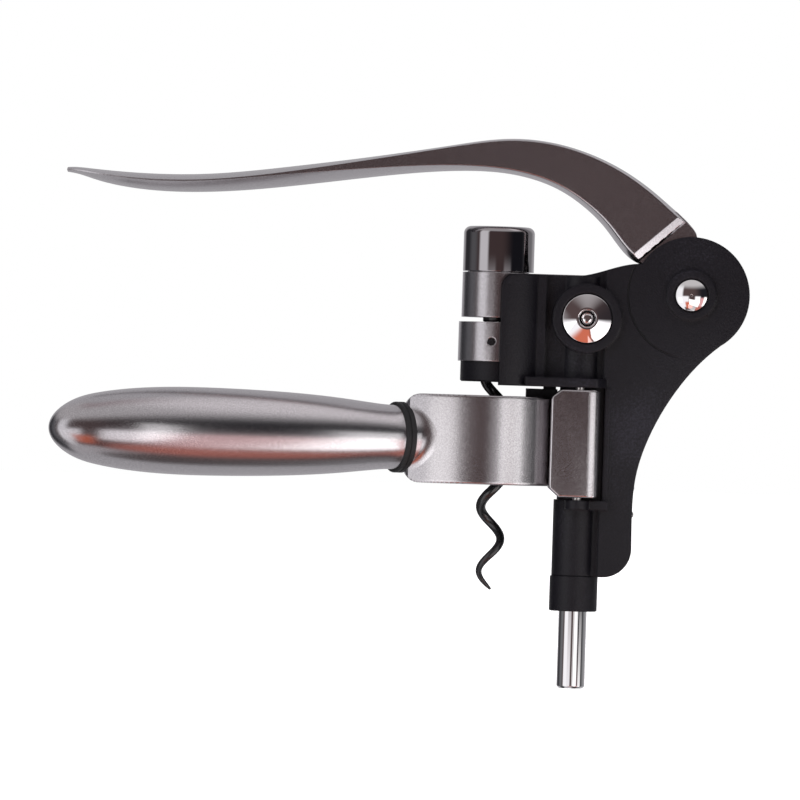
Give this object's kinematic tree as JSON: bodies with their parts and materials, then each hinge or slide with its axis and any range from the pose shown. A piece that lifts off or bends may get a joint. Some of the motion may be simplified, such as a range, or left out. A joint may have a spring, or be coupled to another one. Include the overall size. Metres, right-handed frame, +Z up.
{
  "type": "lever corkscrew",
  "caption": "Lever corkscrew: a top lever drives a worm up and down through a gear and rack, over two hinged jaws with long grips that clamp a bottle neck.",
  "frame": {"origin": "on the worm's axis at mid-height of the bottle neck ring, where the bottle neck is clamped", "axes": "+Z up along the worm's axis, +X from the worm towards the guide rod and the lever pivot, +Y from the near to the far grip"},
  "size_m": [0.2067, 0.125, 0.1644],
  "materials": {
    "black_moulding": "fine-textured black moulded plastic",
    "satin_silver": "satin silver finish on die-cast alloy",
    "chrome": "bright polished chrome plate",
    "plated_steel": "zinc-plated steel",
    "gear_steel": "machined steel",
    "black_coated_steel": "glossy black non-stick coating on steel wire",
    "black_rubber": "soft black rubber",
    "nut_polymer": "hard dark engineering polymer"
  },
  "bodies": {
    "body": {"near_body_shell": "black_moulding", "far_body_shell": "black_moulding", "shell_screws": "plated_steel", "nut_collar": "satin_silver", "nut_bush": "black_moulding", "nut_pin": "plated_steel", "worm_nut": "nut_polymer", "pivot_pin": "plated_steel", "near_pivot_cap": "chrome", "far_pivot_cap": "chrome", "near_dish_cap": "chrome", "far_dish_cap": "chrome", "near_dish_pin": "chrome", "far_dish_pin": "chrome", "rack_stop": "nut_polymer", "rear_screws": "chrome", "lower_guide_bush": "black_moulding", "trigger_spring": "plated_steel", "hinge_pins": "plated_steel"},
    "lever": {"lever_arm": "satin_silver", "hub_gear": "gear_steel", "gear_dowels": "plated_steel"},
    "carriage": {"screw_carrier": "satin_silver", "carrier_cap": "chrome", "guide_rod": "chrome", "rod_nut": "plated_steel", "rack_screw": "plated_steel", "rack": "gear_steel", "worm_washer": "plated_steel"},
    "screw": {"worm": "black_coated_steel", "worm_clip": "plated_steel"},
    "near_jaw_body": {"near_jaw": "satin_silver", "near_jaw_pad": "black_rubber", "near_grip_band": "black_rubber", "near_grip": "satin_silver"},
    "far_jaw_body": {"far_jaw": "satin_silver", "far_jaw_pad": "black_rubber", "far_grip_band": "black_rubber", "far_grip": "satin_silver"},
    "trigger": {"bottle_trigger": "black_moulding"}
  },
  "joints": [
    {"name": "lever_pivot", "type": "hinge", "parent": "body", "child": "lever", "pos_m": [0.0579, 0, 0.0451], "axis": [0, 1, 0], "range_deg": [0, 180]},
    {"name": "carriage_slide", "type": "slide", "parent": "body", "child": "carriage", "axis": [0, 0, 1], "range_m": [0, 0.05185]},
    {"name": "worm_spin", "type": "hinge", "parent": "carriage", "child": "screw", "pos_m": [0, 0, 0], "axis": [0, 0, 1], "range_deg": [0, 961.96]},
    {"name": "near_jaw_hinge", "type": "hinge", "parent": "body", "child": "near_jaw_body", "pos_m": [0.0255, -0.01, 0], "axis": [0, 0, 1], "range_deg": [-2, 20]},
    {"name": "far_jaw_hinge", "type": "hinge", "parent": "body", "child": "far_jaw_body", "pos_m": [0.0255, 0.01, 0], "axis": [0, 0, -1], "range_deg": [-2, 20]},
    {"name": "trigger_slide", "type": "slide", "parent": "body", "child": "trigger", "axis": [0, 0, 1], "range_m": [0, 0.0015], "stiffness_N_per_m": 120, "deforming": ["trigger_spring"]}
  ],
  "couplings": [
    {"joint": "carriage_slide", "follows": "lever_pivot", "m_per_rad": 0.0165},
    {"joint": "worm_spin", "follows": "lever_pivot", "ratio": 5.3439}
  ]
}
